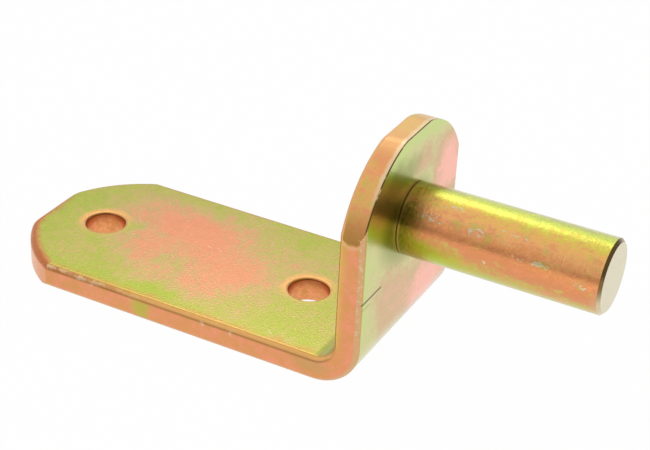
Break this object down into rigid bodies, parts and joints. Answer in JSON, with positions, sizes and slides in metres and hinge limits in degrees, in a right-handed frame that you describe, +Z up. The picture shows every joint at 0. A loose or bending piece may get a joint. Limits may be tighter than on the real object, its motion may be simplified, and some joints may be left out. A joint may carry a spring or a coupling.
{
  "type": "gate hinge pin",
  "caption": "Flat-bar plate with screw holes, bent into an upright ear that carries a riveted round pin on which the eye of a gate's strap hinge turns.",
  "frame": {"origin": "midway between the screw holes, on the mounting face", "axes": "+X along the pin, towards its tip; +Y across the bar; +Z up from the mounting face, along the ear"},
  "size_m": [0.1195, 0.04, 0.045],
  "materials": {
    "plated_bar": "steel flat bar with satin yellow-chromated zinc plating, iridescent green to salmon",
    "plated_pin": "drawn steel round bar with satin yellow-chromated zinc plating, iridescent green to orange"
  },
  "bodies": {
    "root": {"bent_plate": "plated_bar", "hinge_pin": "plated_pin"}
  },
  "joints": []
}
